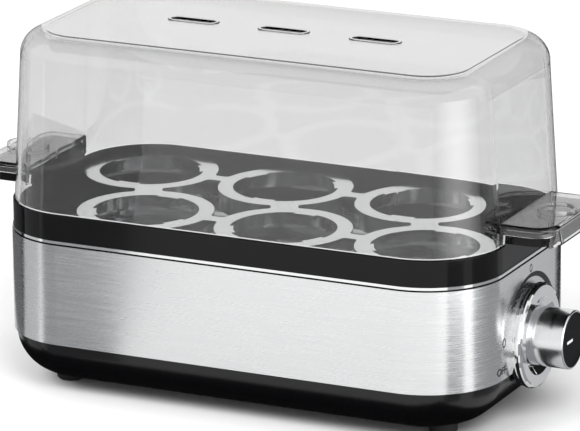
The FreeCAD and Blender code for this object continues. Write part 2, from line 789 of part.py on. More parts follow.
thermostat_sizes = {
    "thermostat_radius": 8.0,
    "blade_spacing": 5.0,
    "blade_width": 6.3,
    "blade_thickness": 0.8,
    "blade_drop": 7.0,
}
add_sizes("thermostat", thermostat_sizes)
blade_end = bar_bottom - size.blade_drop
thermostat_case = cylinder("thermostat_case", size.thermostat_radius, bowl_underside - bar_bottom,
                           0, 0, bar_bottom)
blades = [box(f"thermostat_blade_{number}", size.blade_thickness, size.blade_width,
              size.blade_drop + size.overrun, side * size.blade_spacing, 0, blade_end)
          for number, side in enumerate((1, -1))]
piece("thermostat", fuse("thermostat_solid", thermostat_case, *blades))

# Thermal fuse: a small cartridge under the bowl, held up by a bent clip.

thermal_fuse_sizes = {
    "fuse_x": 28.0,
    "fuse_radius": 2.0,
    "fuse_length": 14.0,
    "fuse_pin_radius": 0.5,
    "fuse_pin_length": 4.0,
    "fuse_gap": 0.05,
    "clip_width": 7.0,
    "clip_thickness": 0.6,
}
add_sizes("thermal fuse", thermal_fuse_sizes)
fuse_level = bowl_underside - size.fuse_radius - size.fuse_gap
fuse_case = cylinder("fuse_case", size.fuse_radius, size.fuse_length, size.fuse_x, -size.fuse_length / 2,
                     fuse_level, axis="Y")
fuse_pins = cylinder("fuse_pins", size.fuse_pin_radius, size.fuse_length + 2 * size.fuse_pin_length,
                     size.fuse_x, -size.fuse_length / 2 - size.fuse_pin_length, fuse_level, axis="Y")
piece("thermal_fuse", fuse("fuse_solid", fuse_case, fuse_pins))
clip_opening = 2 * (size.fuse_radius + size.fuse_gap)
clip_bottom = bowl_underside - clip_opening - size.clip_thickness
clip_block = box("clip_block", clip_opening + 2 * size.clip_thickness, size.clip_width,
                 bowl_underside - clip_bottom, size.fuse_x, 0, clip_bottom)
clip_space = box("clip_space", clip_opening, size.clip_width + 2 * size.overrun,
                 clip_opening + size.overrun, size.fuse_x, 0, clip_bottom + size.clip_thickness)
piece("fuse_clip", cut("clip", clip_block, clip_space))

# Control board on four bosses, with its relay, capacitor, buzzer and connector.

control_board_sizes = {
    "relay_length": 19.0,
    "relay_width": 15.5,
    "relay_height": 15.0,
    "capacitor_length": 18.0,
    "capacitor_width": 8.0,
    "capacitor_height": 14.0,
    "buzzer_radius": 6.0,
    "buzzer_height": 7.0,
    "buzzer_hole_radius": 1.2,
    "buzzer_hole_depth": 3.0,
    "connector_length": 12.0,
    "connector_width": 8.0,
    "connector_height": 9.0,
    "board_part_x": 12.0,
    "board_part_y": 12.0,
}
add_sizes("control board", control_board_sizes)
relay_x = board_x - size.board_part_x
buzzer_x = board_x + size.board_part_x
board_plate = box("board_plate", board_length, size.board_width, size.board_thickness,
                  board_x, 0, board_bottom)
board_holes = [cylinder(f"board_hole_{number}", small_screw_hole, size.board_thickness + 2 * size.overrun,
                        x, y, board_bottom - size.overrun) for number, (x, y) in enumerate(board_corners)]
piece("control_board", cut("board", board_plate, *board_holes))
board_screws = [screw(f"board_screw_{number}", size.small_screw_radius, size.small_screw_head_radius,
                      size.small_screw_head_height, x, y, board_top,
                      size.board_thickness + size.small_screw_length, upward=False)
                for number, (x, y) in enumerate(board_corners)]
piece("board_screws", group("board_screw_set", board_screws))
piece("relay", box("relay_case", size.relay_length, size.relay_width, size.relay_height,
                   relay_x, size.board_part_y, board_top))
piece("capacitor", box("capacitor_case", size.capacitor_length, size.capacitor_width, size.capacitor_height,
                       relay_x, -size.board_part_y, board_top))
buzzer_case = cylinder("buzzer_case", size.buzzer_radius, size.buzzer_height, buzzer_x, size.board_part_y,
                       board_top)
buzzer_hole = cylinder("buzzer_hole", size.buzzer_hole_radius, size.buzzer_hole_depth + size.overrun,
                       buzzer_x, size.board_part_y, board_top + size.buzzer_height - size.buzzer_hole_depth)
piece("buzzer", cut("buzzer_solid", buzzer_case, buzzer_hole))
piece("board_connector", box("connector_case", size.connector_length, size.connector_width,
                             size.connector_height, buzzer_x, -size.board_part_y, board_top))

# Control bracket: a bent steel angle that holds the rotary control square behind the end of the band.

control_bracket_sizes = {
    "bracket_thickness": 1.5,
    "bracket_half_width": 14.0,
    "bracket_above_axis": 13.0,
    "bracket_foot": 17.0,
    "bush_radius": 4.5,
    "bush_fit": 0.1,
    "bush_length": 5.6,
}
add_sizes("control bracket", control_bracket_sizes)
bracket_face = bracket_x + size.bracket_thickness
bracket_upright = box("bracket_upright", size.bracket_thickness, 2 * size.bracket_half_width,
                      size.knob_axis_height + size.bracket_above_axis - bracket_bottom,
                      bracket_x + size.bracket_thickness / 2, 0, bracket_bottom)
bracket_sole = box("bracket_sole", size.bracket_foot, 2 * size.bracket_half_width, size.bracket_thickness,
                   bracket_x - size.bracket_foot / 2, 0, bracket_bottom)
bush_hole = cylinder("bush_hole", size.bush_radius + size.bush_fit, size.bracket_thickness + 2 * size.overrun,
                     bracket_x - size.overrun, 0, size.knob_axis_height, axis="X")
bracket_holes = [cylinder(f"bracket_hole_{number}", small_screw_hole,
                          size.bracket_thickness + 2 * size.overrun, x, y, bracket_bottom - size.overrun)
                 for number, (x, y) in enumerate(bracket_places)]
piece("control_bracket", cut("bracket", fuse("bracket_solid", bracket_upright, bracket_sole),
                             bush_hole, *bracket_holes))
bracket_screws = [screw(f"bracket_screw_{number}", size.small_screw_radius, size.small_screw_head_radius,
                        size.small_screw_head_height, x, y, bracket_bottom + size.bracket_thickness,
                        size.bracket_thickness + size.small_screw_length, upward=False)
                  for number, (x, y) in enumerate(bracket_places)]
piece("bracket_screws", group("bracket_screw_set", bracket_screws))

# Rotary control: a round case behind the bracket with a bored bush through it, a washer and a nut.

rotary_control_sizes = {
    "control_radius": 9.5,
    "control_length": 11.5,
    "shaft_radius": 3.0,
    "shaft_play": 0.05,
    "shaft_back": 10.0,
    "washer_radius": 6.5,
    "washer_thickness": 0.5,
    "nut_radius": 6.4,
    "nut_height": 2.5,
    "nut_fit": 0.05,
    "tag_width": 2.0,
    "tag_thickness": 0.6,
    "tag_length": 4.0,
    "tag_spacing": 5.0,
}
add_sizes("rotary control", rotary_control_sizes)
control_back = bracket_x - size.control_length
bush_end = bracket_x + size.bush_length
washer_face = bracket_face + size.washer_thickness
shaft_bore = size.shaft_radius + size.shaft_play
bush_bore = size.bush_radius + size.nut_fit
control_case = spun("control_case", "XZ_Plane", "H_Axis", [
    (control_back, 0),
    (bush_end, 0),
    (bush_end, size.bush_radius),
    (bracket_x, size.bush_radius),
    (bracket_x, size.control_radius),
    (control_back, size.control_radius),
], up=size.knob_axis_height)
control_tags = [box(f"control_tag_{number}", size.tag_thickness, size.tag_width,
                    size.control_radius + size.tag_length, control_back + size.tag_width,
                    column * size.tag_spacing, size.knob_axis_height - size.control_radius - size.tag_length)
                for number, column in enumerate((-1, 0, 1))]
control_bore = cylinder("control_bore", shaft_bore, size.shaft_back + size.bush_length + size.overrun,
                        bracket_x - size.shaft_back, 0, size.knob_axis_height, axis="X")
piece("rotary_control", cut("control", fuse("control_solid", control_case, *control_tags), control_bore))
piece("control_washer", spun("washer", "XZ_Plane", "H_Axis", [
    (bracket_face, bush_bore),
    (washer_face, bush_bore),
    (washer_face, size.washer_radius),
    (bracket_face, size.washer_radius),
], up=size.knob_axis_height))
nut_block = hexagon("nut_block", size.nut_radius, size.nut_height, washer_face, 0, size.knob_axis_height,
                    axis="X")
nut_bore = cylinder("nut_bore", bush_bore, size.nut_height + 2 * size.overrun, washer_face - size.overrun,
                    0, size.knob_axis_height, axis="X")
piece("control_nut", cut("nut", nut_block, nut_bore))

# Bezel: the turned, chromed collar round the knob. Its spigot passes through the band's hole.

bezel_sizes = {
    "bezel_radius": 21.9,
    "bezel_depth": 5.2,
    "bezel_floor": 1.4,
    "bezel_bore_radius": 13.3,
    "bezel_cone": 2.7,
    "bezel_cone_depth": 2.6,
    "bezel_round": 1.8,
    "bezel_lip": 0.3,
    "bezel_spigot_length": 2.0,
    "bezel_spigot_fit": 0.3,
    "bezel_spigot_wall": 2.0,
    "bezel_groove_depth": 1.2,
    "bezel_groove_width": 1.0,
    "bezel_back_rim": 1.6,
}
add_sizes("bezel", bezel_sizes)
bezel_front = body_end + size.bezel_depth
bezel_floor = body_end + size.bezel_floor
spigot_radius = size.bezel_hole_radius - size.bezel_spigot_fit
spigot_end = body_end - size.bezel_spigot_length
groove_start = body_end + size.bezel_back_rim
groove_radius = size.bezel_radius - size.bezel_groove_depth
back_rim_radius = size.bezel_radius - size.bezel_groove_depth / 2
bezel_edge = []
for angle in (math.pi / 2, math.pi * 3 / 8, math.pi / 4, math.pi / 8, 0):
    bezel_edge.append((bezel_front - size.bezel_round * (1 - math.sin(angle)),
                       size.bezel_radius - size.bezel_round * (1 - math.cos(angle))))
piece("bezel_ring", spun("bezel", "XZ_Plane", "H_Axis", [
    (spigot_end, spigot_radius - size.bezel_spigot_wall),
    (bezel_floor, spigot_radius - size.bezel_spigot_wall),
    (bezel_floor, size.bezel_bore_radius),
    (bezel_front - size.bezel_cone_depth, size.bezel_bore_radius),
    (bezel_front - size.bezel_lip, size.bezel_bore_radius + size.bezel_cone),
    (bezel_front, size.bezel_bore_radius + size.bezel_cone + size.bezel_lip),
    *bezel_edge,
    (groove_start + size.bezel_groove_width, size.bezel_radius),
    (groove_start + size.bezel_groove_width, groove_radius),
    (groove_start, groove_radius),
    (groove_start, back_rim_radius),
    (body_end, back_rim_radius),
    (body_end, spigot_radius),
    (spigot_end, spigot_radius),
], up=size.knob_axis_height))

# Knob: a steel shaft with a flat, a plastic core on it, a bright shell, a black cap and a pale pointer.

knob_sizes = {
    "knob_radius": 12.25,
    "knob_shell_wall": 0.8,
    "knob_proud": 14.2,
    "knob_start": 2.4,
    "knob_fit": 0.05,
    "cap_recess": 0.4,
    "cap_thickness": 1.2,
    "core_front_wall": 1.6,
    "shaft_flat": 1.0,
    "shaft_flat_start": 3.0,
    "pointer_length": 5.9,
    "pointer_offset": 3.0,
    "pointer_width": 1.2,
    "pointer_depth": 0.5,
    "pointer_proud": 0.1,
}
add_sizes("knob", knob_sizes)
knob_back = body_end + size.knob_start
knob_face = bezel_front + size.knob_proud
cap_front = knob_face - size.cap_recess
cap_back = cap_front - size.cap_thickness
shaft_start = bracket_x - size.shaft_back + size.shaft_play
shaft_end = cap_back - size.core_front_wall
flat_start = knob_back + size.shaft_flat_start
core_radius = size.knob_radius - size.knob_shell_wall - size.knob_fit
flat_level = size.knob_axis_height + size.shaft_radius - size.shaft_flat
shaft_rod = cylinder("shaft_rod", size.shaft_radius, shaft_end - shaft_start, shaft_start, 0,
                     size.knob_axis_height, axis="X")
shaft_flat = box("shaft_flat", shaft_end - flat_start + size.overrun, 2 * size.shaft_radius + size.overrun,
                 size.shaft_radius, (shaft_end + flat_start + size.overrun) / 2, 0, flat_level)
piece("control_shaft", cut("shaft", shaft_rod, shaft_flat))
core_block = cylinder("core_block", core_radius, cap_back - knob_back, knob_back, 0, size.knob_axis_height,
                      axis="X")
core_round_bore = cylinder("core_round_bore", size.shaft_radius + size.knob_fit,
                           shaft_end + size.knob_fit - knob_back + size.overrun, knob_back - size.overrun, 0,
                           size.knob_axis_height, axis="X")
core_key = box("core_key", shaft_end - flat_start + 2 * size.overrun, 2 * size.shaft_radius + size.overrun,
               size.shaft_radius, (shaft_end + flat_start) / 2 + size.overrun, 0, flat_level + size.knob_fit)
piece("knob_core", cut("core", core_block, cut("core_bore", core_round_bore, core_key)))
piece("knob_shell", spun("shell", "XZ_Plane", "H_Axis", [
    (knob_back, size.knob_radius - size.knob_shell_wall),
    (knob_face, size.knob_radius - size.knob_shell_wall),
    (knob_face, size.knob_radius - size.knob_shell_wall / 2),
    (knob_face - size.knob_shell_wall / 2, size.knob_radius),
    (knob_back, size.knob_radius),
], up=size.knob_axis_height))
cap_disc = cylinder("cap_disc", core_radius, size.cap_thickness, cap_back, 0, size.knob_axis_height, axis="X")
slot_depth = size.pointer_depth + size.overrun
pointer_slot = box("pointer_slot", slot_depth, size.pointer_length, size.pointer_width,
                   cap_front - size.pointer_depth + slot_depth / 2, -size.pointer_offset,
                   size.knob_axis_height - size.pointer_width / 2)
piece("knob_cap", cut("cap", cap_disc, pointer_slot))
pointer_thickness = size.pointer_depth + size.pointer_proud
piece("knob_pointer", box("pointer_bar", pointer_thickness, size.pointer_length - 2 * size.knob_fit,
                          size.pointer_width - 2 * size.knob_fit,
                          cap_front - size.pointer_depth + pointer_thickness / 2, -size.pointer_offset,
                          size.knob_axis_height - size.pointer_width / 2 + size.knob_fit))

# Cord gland: a moulded bush through the back of the base pan, its nut inside, and the mains terminals.

cord_gland_sizes = {
    "gland_bore_radius": 3.5,
    "gland_flange": 1.6,
    "gland_tail": 4.0,
    "terminal_length": 22.0,
    "terminal_width": 12.0,
    "terminal_height": 12.0,
    "terminal_y": 14.0,
    "terminal_hole_radius": 1.8,
    "terminal_hole_depth": 5.0,
}
add_sizes("cord gland", cord_gland_sizes)
gland_inner_end = gland_inner_face - size.gland_tail
gland_outer_end = gland_seat_y + size.gland_flange
gland_nut_start = gland_inner_face - size.gland_nut_height
piece("cord_gland", spun("gland", "YZ_Plane", "H_Axis", [
    (gland_inner_end, size.gland_bore_radius),
    (gland_outer_end, size.gland_bore_radius),
    (gland_outer_end, size.gland_flange_radius - size.gland_flange / 2),
    (gland_outer_end - size.gland_flange / 2, size.gland_flange_radius),
    (gland_seat_y, size.gland_flange_radius),
    (gland_seat_y, size.gland_radius),
    (gland_inner_end, size.gland_radius),
], offset=-gland_x, up=size.gland_height))
gland_nut_block = hexagon("gland_nut_block", size.gland_nut_radius, size.gland_nut_height, -gland_x,
                          gland_nut_start, size.gland_height, axis="Y")
gland_nut_bore = cylinder("gland_nut_bore", size.gland_radius + size.nut_fit,
                          size.gland_nut_height + 2 * size.overrun, -gland_x,
                          gland_nut_start - size.overrun, size.gland_height, axis="Y")
piece("gland_nut", cut("gland_nut_solid", gland_nut_block, gland_nut_bore))
terminal_top = floor + size.terminal_height
terminal_case = box("terminal_case", size.terminal_length, size.terminal_width, size.terminal_height,
                    -gland_x, size.terminal_y, floor)
terminal_places = [-gland_x + column * size.terminal_length / 3 for column in (-1, 0, 1)]
terminal_holes = [cylinder(f"terminal_hole_{number}", size.terminal_hole_radius,
                           size.terminal_hole_depth + size.overrun, x, size.terminal_y,
                           terminal_top - size.terminal_hole_depth)
                  for number, x in enumerate(terminal_places)]
piece("terminal_block", cut("terminal", terminal_case, *terminal_holes))

# Wires: round leads along straight runs joined by tangent bends, inside the body.

wires_sizes = {
    "wire_bend": 5.0,
    "wire_high": 38.5,
    "wire_low": 28.5,
    "wire_end_gap": 0.05,
    "earth_end_inset": 34.0,
    "earth_side_inset": 22.0,
    "lead_board_inset": 12.0,
}
add_sizes("wires", wires_sizes)
earth_x = body_end - size.earth_end_inset
earth_y = body_side - size.earth_side_inset
lead_end_x = board_end - size.lead_board_inset


def wire(name, *points):
    """A round lead through points, each corner rounded by one tangent arc."""
    spots = [Vector(*(as_size(part).number for part in point)) for point in points]
    origin = spots[0]
    spots = [spot - origin for spot in spots]
    edges = []
    start = spots[0]
    for before, corner, after in zip(spots, spots[1:], spots[2:]):
        back = (before - corner).normalize()
        onward = (after - corner).normalize()
        half_turn = (math.pi - back.getAngle(onward)) / 2
        reach = size.wire_bend.number * math.tan(half_turn)
        first = corner + back * reach
        last = corner + onward * reach
        inside = (back + onward).normalize()
        depth = size.wire_bend.number * (1 / math.cos(half_turn) - 1)
        edges.append(Part.LineSegment(start, first).toShape())
        edges.append(Part.Arc(first, corner + inside * depth, last).toShape())
        start = last
    edges.append(Part.LineSegment(start, spots[-1]).toShape())
    ring = Part.Circle(spots[0], spots[1] - spots[0], size.wire_radius.number).toShape()
    lead = doc.addObject("Part::Feature", name)
    lead.Shape = Part.Wire(edges).makePipeShell([Part.Wire(ring)], True, False)
    lead.Placement = Placement(origin, Rotation())
    return lead


terminal_floor = terminal_top - size.terminal_hole_depth + size.wire_end_gap
earth_terminal, neutral_terminal, live_terminal = terminal_places
piece("earth_wire", wire(
    "earth",
    (earth_terminal, size.terminal_y, terminal_floor),
    (earth_terminal, size.terminal_y, size.wire_low),
    (-earth_x, earth_y, size.wire_low),
    (-earth_x, earth_y, shield_bottom - size.wire_end_gap),
))
piece("neutral_wire", wire(
    "neutral",
    (neutral_terminal, size.terminal_y, terminal_floor),
    (neutral_terminal, size.terminal_y, size.wire_high),
    (relay_x - size.relay_length / 4, size.board_part_y, size.wire_high),
    (relay_x - size.relay_length / 4, size.board_part_y, board_top + size.relay_height + size.wire_end_gap),
))
piece("live_wire", wire(
    "live",
    (live_terminal, size.terminal_y, terminal_floor),
    (live_terminal, size.terminal_y, size.wire_low),
    (-size.blade_spacing - 3 * size.wire_bend, 0, size.wire_low),
    (-size.blade_spacing, 0, size.wire_low),
    (-size.blade_spacing, 0, blade_end - size.wire_end_gap),
))
piece("control_wire", wire(
    "control_run",
    (buzzer_x, -size.board_part_y, board_top + size.connector_height + size.wire_end_gap),
    (buzzer_x, -size.board_part_y, size.wire_high),
    (control_back - 2 * size.wire_bend, -size.tag_spacing, size.wire_high),
    (control_back - size.wire_end_gap, -size.tag_spacing, size.wire_high),
))
element_leads = [wire(
    f"element_lead_{number}",
    (pin_end + size.wire_end_gap, side * element_bend, element_level),
    (lead_x, side * element_bend, element_level),
    (lead_x, side * element_bend, size.wire_low),
    (lead_end_x, side * element_bend, size.wire_low),
    (lead_end_x, side * element_bend, board_top + size.wire_end_gap),
) for number, side in enumerate((1, -1))]
piece("element_wires", group("element_lead_pair", element_leads))

# Egg tray: polished steel. Six flat rings in two staggered rows, joined by webs; each ring has three
# inward tabs, a skirt at its outer edge that stands on the rim's ledge, and a shorter collar inside.

egg_tray_sizes = {
    "ring_stagger": 12.6,
    "ring_radius_share": 0.475,
    "ring_band": 6.3,
    "tray_side_play": 0.4,
    "tray_end_play": 2.1,
    "tray_plate": 1.4,
    "tray_sheet": 1.2,
    "tray_seat_gap": 0.1,
    "tray_skirt": 7.9,
    "ring_collar": 5.0,
    "tab_width": 9.6,
    "tab_reach": 1.7,
    "row_web_width": 6.4,
    "cross_web_width": 11.4,
    "web_round": 1.8,
}
add_sizes("egg tray", egg_tray_sizes)
tray_inset = mouth_inset + size.rim_step
ring_outer_radius = body_side * size.ring_radius_share
ring_inner_radius = ring_outer_radius - size.ring_band
ring_row_y = body_side - tray_inset - size.tray_side_play - ring_outer_radius
ring_pitch = body_end - tray_inset - size.tray_end_play - ring_outer_radius - size.ring_stagger
tray_foot = tray_ledge + size.tray_seat_gap
tray_top = tray_foot + size.tray_skirt
plate_bottom = tray_top - size.tray_plate
tab_inner_radius = ring_inner_radius - size.tab_reach
rings = []
for row in (-1, 1):
    for column in (-1, 0, 1):
        rings.append((column * ring_pitch - row * size.ring_stagger, row * ring_row_y, row))


def tube(name, radius, depth, x, y):
    """An open tube hanging from the tray's top, with the sheet's thickness."""
    outside = cylinder(name + "_outside", radius, depth, x, y, tray_top - depth)
    inside = cylinder(name + "_inside", radius - size.tray_sheet, depth + 2 * size.overrun,
                      x, y, tray_top - depth - size.overrun)
    return cut(name, outside, inside)


def ring_hole(name, x, y, row):
    """The opening of one ring: a circle with three tabs left in, one of them facing the other row."""
    depth = size.tray_plate + 2 * size.overrun
    wide = cylinder(name + "_wide", ring_inner_radius, depth, 0, 0, plate_bottom - size.overrun)
    narrow = cylinder(name + "_narrow", tab_inner_radius, depth, 0, 0, plate_bottom - size.overrun)
    tabs = []
    for number, angle in enumerate((90, 210, 330)):
        tab = box(f"{name}_tab_{number}", ring_inner_radius, size.tab_width, depth + 2 * size.overrun,
                  tab_inner_radius, 0, plate_bottom - 2 * size.overrun)
        tabs.append(turn(group(f"{name}_turned_tab_{number}", [tab]), angle))
    opening = fuse(name, cut(name + "_between_tabs", wide, *tabs), narrow)
    turn(opening, 0 if row < 0 else 180)
    return place(opening, x, y)


discs = [cylinder(f"disc_{number}", ring_outer_radius, size.tray_plate, x, y, plate_bottom)
         for number, (x, y, row) in enumerate(rings)]
webs = [box(f"row_web_{number}", ring_pitch, size.row_web_width, size.tray_plate,
            rings[number][0] + ring_pitch / 2, rings[number][1], plate_bottom)
        for number in (0, 1, 3, 4)]
for column in (-1, 0, 1):
    web = box(f"cross_web_{column + 1}", 2 * hypotenuse(ring_row_y, size.ring_stagger),
              size.cross_web_width, size.tray_plate, 0, 0, plate_bottom)
    slanted = turn(group(f"slanted_web_{column + 1}", [web]), 0)
    bind(slanted, Placement__Rotation__Angle=slope(ring_row_y, -size.ring_stagger))
    webs.append(place(slanted, column * ring_pitch))
tray_blank = fuse("tray_blank", *discs, *webs)
doc.recompute()
web_corners = []
for number, edge in enumerate(tray_blank.Shape.Edges, 1):
    limits = edge.BoundBox
    if limits.ZLength > size.tray_plate.number / 2 and limits.DiagonalLength < 2 * limits.ZLength:
        web_corners.append((number, size.web_round.number, size.web_round.number))
tray_rounded = doc.addObject("Part::Fillet", "tray_rounded")
tray_rounded.Base = tray_blank
tray_rounded.Edges = web_corners
skirts = [tube(f"skirt_{number}", ring_outer_radius, size.tray_skirt, x, y)
          for number, (x, y, row) in enumerate(rings)]
collars = [tube(f"collar_{number}", ring_inner_radius + size.tray_sheet, size.ring_collar, x, y)
           for number, (x, y, row) in enumerate(rings)]
openings = [ring_hole(f"ring_hole_{number}", x, y, row) for number, (x, y, row) in enumerate(rings)]
tray_plate = cut("tray_plate", tray_rounded, *openings)
piece("egg_tray", fuse("tray", tray_plate, *skirts, *collars))

# Lid: one clear moulding. Its drafted walls stand on the rim, a hood at each end covers the lug, and
# three slots in the top, each in a low bead, let the steam out.

lid_sizes = {
    "lid_height": 72.0,
    "lid_inset": 1.3,
    "lid_seat_gap": 0.1,
    "lid_draft": 3.6,
    "lid_wall": 2.0,
    "lid_top_round": 11.0,
    "lid_shoulder": 1.0,
    "hood_over": 2.5,
    "hood_flare": 1.0,
    "hood_side_over": 2.7,
    "hood_corner": 10.0,
    "hood_rise": 9.3,
    "hood_drop": 1.1,
    "hood_edge_round": 1.5,
    "hood_shoulder": 0.5,
    "hood_relief": 4.1,
    "steam_slot_pitch": 41.3,
    "steam_slot_length": 20.5,
    "steam_slot_width": 5.4,
    "bead_width": 1.3,
    "bead_height": 0.5,
    "grip_inset": 8.8,
    "grip_radius": 8.2,
    "grip_wall": 1.2,
    "grip_height": 1.6,
}
add_sizes("lid", lid_sizes)
lid_bottom = rim_top + size.lid_seat_gap
lid_top = lid_bottom + size.lid_height
hood_reach = lug_reach + size.hood_over
hood_half_width = size.lug_half_width + size.hood_side_over
grip_x = hood_reach - size.grip_inset
hood_top = rim_top + size.hood_rise
hood_bottom = rim_top + size.hood_drop
hood_ceiling = hood_top - size.lid_wall


def hood_outline(inset):
    """The plan of both hoods as one long block, moved inwards from its top edge."""
    return (2 * (hood_reach - inset), 2 * (hood_half_width - inset), size.hood_corner - inset)


lid_shoulder = lid_top - size.lid_top_round - size.lid_shoulder
hood_shoulder = hood_ceiling - size.hood_shoulder
head_inset = size.lid_inset + size.lid_draft
lid_outside = drafted("lid_outside", outline(size.lid_inset), lid_bottom, outline(head_inset), lid_shoulder,
                      lid_top, size.lid_top_round)
lid_inside = drafted("lid_inside", outline(size.lid_inset + size.lid_wall), lid_bottom,
                     outline(head_inset + size.lid_wall), lid_shoulder, lid_top - size.lid_wall,
                     size.lid_top_round - size.lid_wall)
hood_outside = drafted("hood_outside", hood_outline(-size.hood_flare), hood_bottom, hood_outline(0),
                       hood_shoulder, hood_top, size.hood_edge_round)
hood_inside = drafted("hood_inside", hood_outline(size.lid_wall - size.hood_flare), hood_bottom,
                      hood_outline(size.lid_wall), hood_shoulder, hood_ceiling, size.hood_shoulder / 2)
arch = box("arch", size.body_length + 2 * size.overrun, 2 * (hood_half_width - size.lid_wall),
           hood_ceiling - lid_bottom + size.overrun, 0, 0, lid_bottom - size.overrun)
relief_length = hood_reach - body_end - size.lid_wall
reliefs = [box(f"relief_{number}", relief_length, 2 * (hood_half_width + size.hood_flare + size.overrun),
               size.hood_relief + size.overrun, side * (body_end + relief_length / 2), 0,
               hood_bottom - size.overrun) for number, side in enumerate((1, -1))]
grips = []
for number, side in enumerate((1, -1)):
    outside = cylinder(f"grip_outside_{number}", size.grip_radius, size.grip_height + size.lid_wall / 2,
                       side * grip_x, 0, hood_top - size.lid_wall / 2)
    inside = cylinder(f"grip_inside_{number}", size.grip_radius - size.grip_wall,
                      size.grip_height + size.overrun, side * grip_x, 0, hood_top)
    grips.append(cut(f"grip_{number}", outside, inside))
steam_slots = []
beads_round_slots = []
for column in (-1, 0, 1):
    slot = slot_prism(f"steam_slot_{column + 1}", size.steam_slot_length, size.steam_slot_width,
                      lid_top - 2 * size.lid_wall, lid_top + size.bead_height + size.overrun)
    bead = slot_prism(f"slot_bead_{column + 1}", size.steam_slot_length + 2 * size.bead_width,
                      size.steam_slot_width + 2 * size.bead_width, lid_top - size.lid_wall / 2,
                      lid_top + size.bead_height, round_top=size.bead_height / 2)
    steam_slots.append(place(slot, column * size.steam_slot_pitch))
    beads_round_slots.append(place(bead, column * size.steam_slot_pitch))
lid_solid = fuse("lid_solid", lid_outside, cut("hoods", hood_outside, *reliefs))
lid_shell = cut("lid_shell", lid_solid, lid_inside, hood_inside, arch)
lid_with_beads = fuse("lid_with_beads", lid_shell, *beads_round_slots, *grips)
piece("lid", cut("lid_with_slots", lid_with_beads, *steam_slots))

# Every object has to have been built, and every sub-part has to be whole, before anything is written.

doc.recompute()
failed = [thing.Name for thing in doc.Objects if "Invalid" in thing.State or "Error" in thing.State]
unsound = [thing.Label for thing in pieces if thing.Shape.isNull() or not thing.Shape.isValid()]
if failed or unsound:
    raise RuntimeError(f"not built: {failed}; unsound: {unsound}")
os.makedirs("parts", exist_ok=True)
for thing in pieces:
    thing.Shape.exportStep(f"parts/{thing.Label}.step")
    print(f"{thing.Label}: {len(thing.Shape.Solids)} solid(s), {thing.Shape.Volume:.0f} mm3")
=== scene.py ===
import math

import bpy
from mathutils import Matrix, Vector


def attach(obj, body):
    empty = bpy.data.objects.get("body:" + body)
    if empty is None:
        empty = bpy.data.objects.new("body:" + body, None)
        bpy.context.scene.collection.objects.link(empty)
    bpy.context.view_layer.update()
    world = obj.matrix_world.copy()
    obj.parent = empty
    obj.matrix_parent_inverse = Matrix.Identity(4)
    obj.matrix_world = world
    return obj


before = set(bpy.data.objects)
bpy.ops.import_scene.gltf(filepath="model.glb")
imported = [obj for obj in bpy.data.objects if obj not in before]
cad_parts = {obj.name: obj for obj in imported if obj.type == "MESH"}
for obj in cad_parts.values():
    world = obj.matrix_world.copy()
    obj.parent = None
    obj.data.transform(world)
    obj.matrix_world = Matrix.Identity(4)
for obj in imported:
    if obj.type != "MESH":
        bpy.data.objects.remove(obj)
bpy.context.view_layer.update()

# Base pan: the housing's lower half, injection moulded in black ABS, with the cord gland and its nut in the
# same plastic. The tool's fine even grain softens the gloss, so the pan shows a low sheen below the steel.
# Where it curves under it falls to black, because it mirrors a black card laid under the machine as painted
# shadow.


def linear(code):
    """An sRGB colour, written as hex, in the linear numbers that shaders take."""
    parts = [int(code[place:place + 2], 16) / 255 for place in (1, 3, 5)]
    return [part / 12.92 if part <= 0.04045 else ((part + 0.055) / 1.055) ** 2.4 for part in parts] + [1.0]


def add(tree, kind, sockets=None, **settings):
    """One node: its settings by attribute, and its inputs by name or number, each a value or a link."""
    made = tree.nodes.new(kind)
    for name, value in settings.items():
        setattr(made, name, value)
    for socket, value in (sockets or {}).items():
        if isinstance(value, bpy.types.NodeSocket):
            tree.links.new(value, made.inputs[socket])
        else:
            made.inputs[socket].default_value = value
    return made


def finish(name, dark, light, grain, rough, relief=0.0, stretch=(1, 1, 1), **surface):
    """A finish whose tone, roughness and relief follow one grain of that size in metres."""
    look = bpy.data.materials.new(name)
    look.use_nodes = True
    tree = look.node_tree
    shader = tree.nodes["Principled BSDF"]
    place = add(tree, "ShaderNodeTexCoord").outputs["Object"]
    place = add(tree, "ShaderNodeMapping", {"Vector": place, "Scale": [part / grain for part in stretch]})
    noise = add(tree, "ShaderNodeTexNoise", {"Vector": place.outputs[0], "Scale": 1.0, "Detail": 4.0,
                                             "Roughness": 0.6}).outputs[0]
    tone = add(tree, "ShaderNodeMix", {0: noise, 6: linear(dark), 7: linear(light)}, data_type="RGBA")
    spread = add(tree, "ShaderNodeMapRange", {"Value": noise, "From Min": 0.3, "From Max": 0.7,
                                              "To Min": rough[0], "To Max": rough[1]})
    tree.links.new(tone.outputs[2], shader.inputs["Base Color"])
    tree.links.new(spread.outputs[0], shader.inputs["Roughness"])
    if relief:
        bump = add(tree, "ShaderNodeBump", {"Strength": 0.5, "Distance": relief, "Height": noise})
        tree.links.new(bump.outputs[0], shader.inputs["Normal"])
    for socket, value in surface.items():
        shader.inputs[socket.replace("_", " ")].default_value = value
    return look


def dress(look, *names):
    """The CAD nodes keep their shape and get this finish."""
    for name in names:
        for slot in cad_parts[name].material_slots:
            slot.material = look


grained_abs = finish("grained black ABS", "#040405", "#08080a", grain=0.0006, rough=(0.18, 0.28),
                     relief=0.00001, IOR=1.53, Specular_IOR_Level=0.4)
dress(grained_abs, "base_pan", "cord_gland", "gland_nut")

# Feet: four buttons of black nitrile rubber, moulded and pushed into the base. The rubber is dull and takes a
# little dust, so the feet read as very dark grey.

nitrile_rubber = finish("nitrile rubber", "#121213", "#222224", grain=0.0015, rough=(0.7, 0.85),
                        relief=0.00003, IOR=1.52)
dress(nitrile_rubber, "rubber_feet")

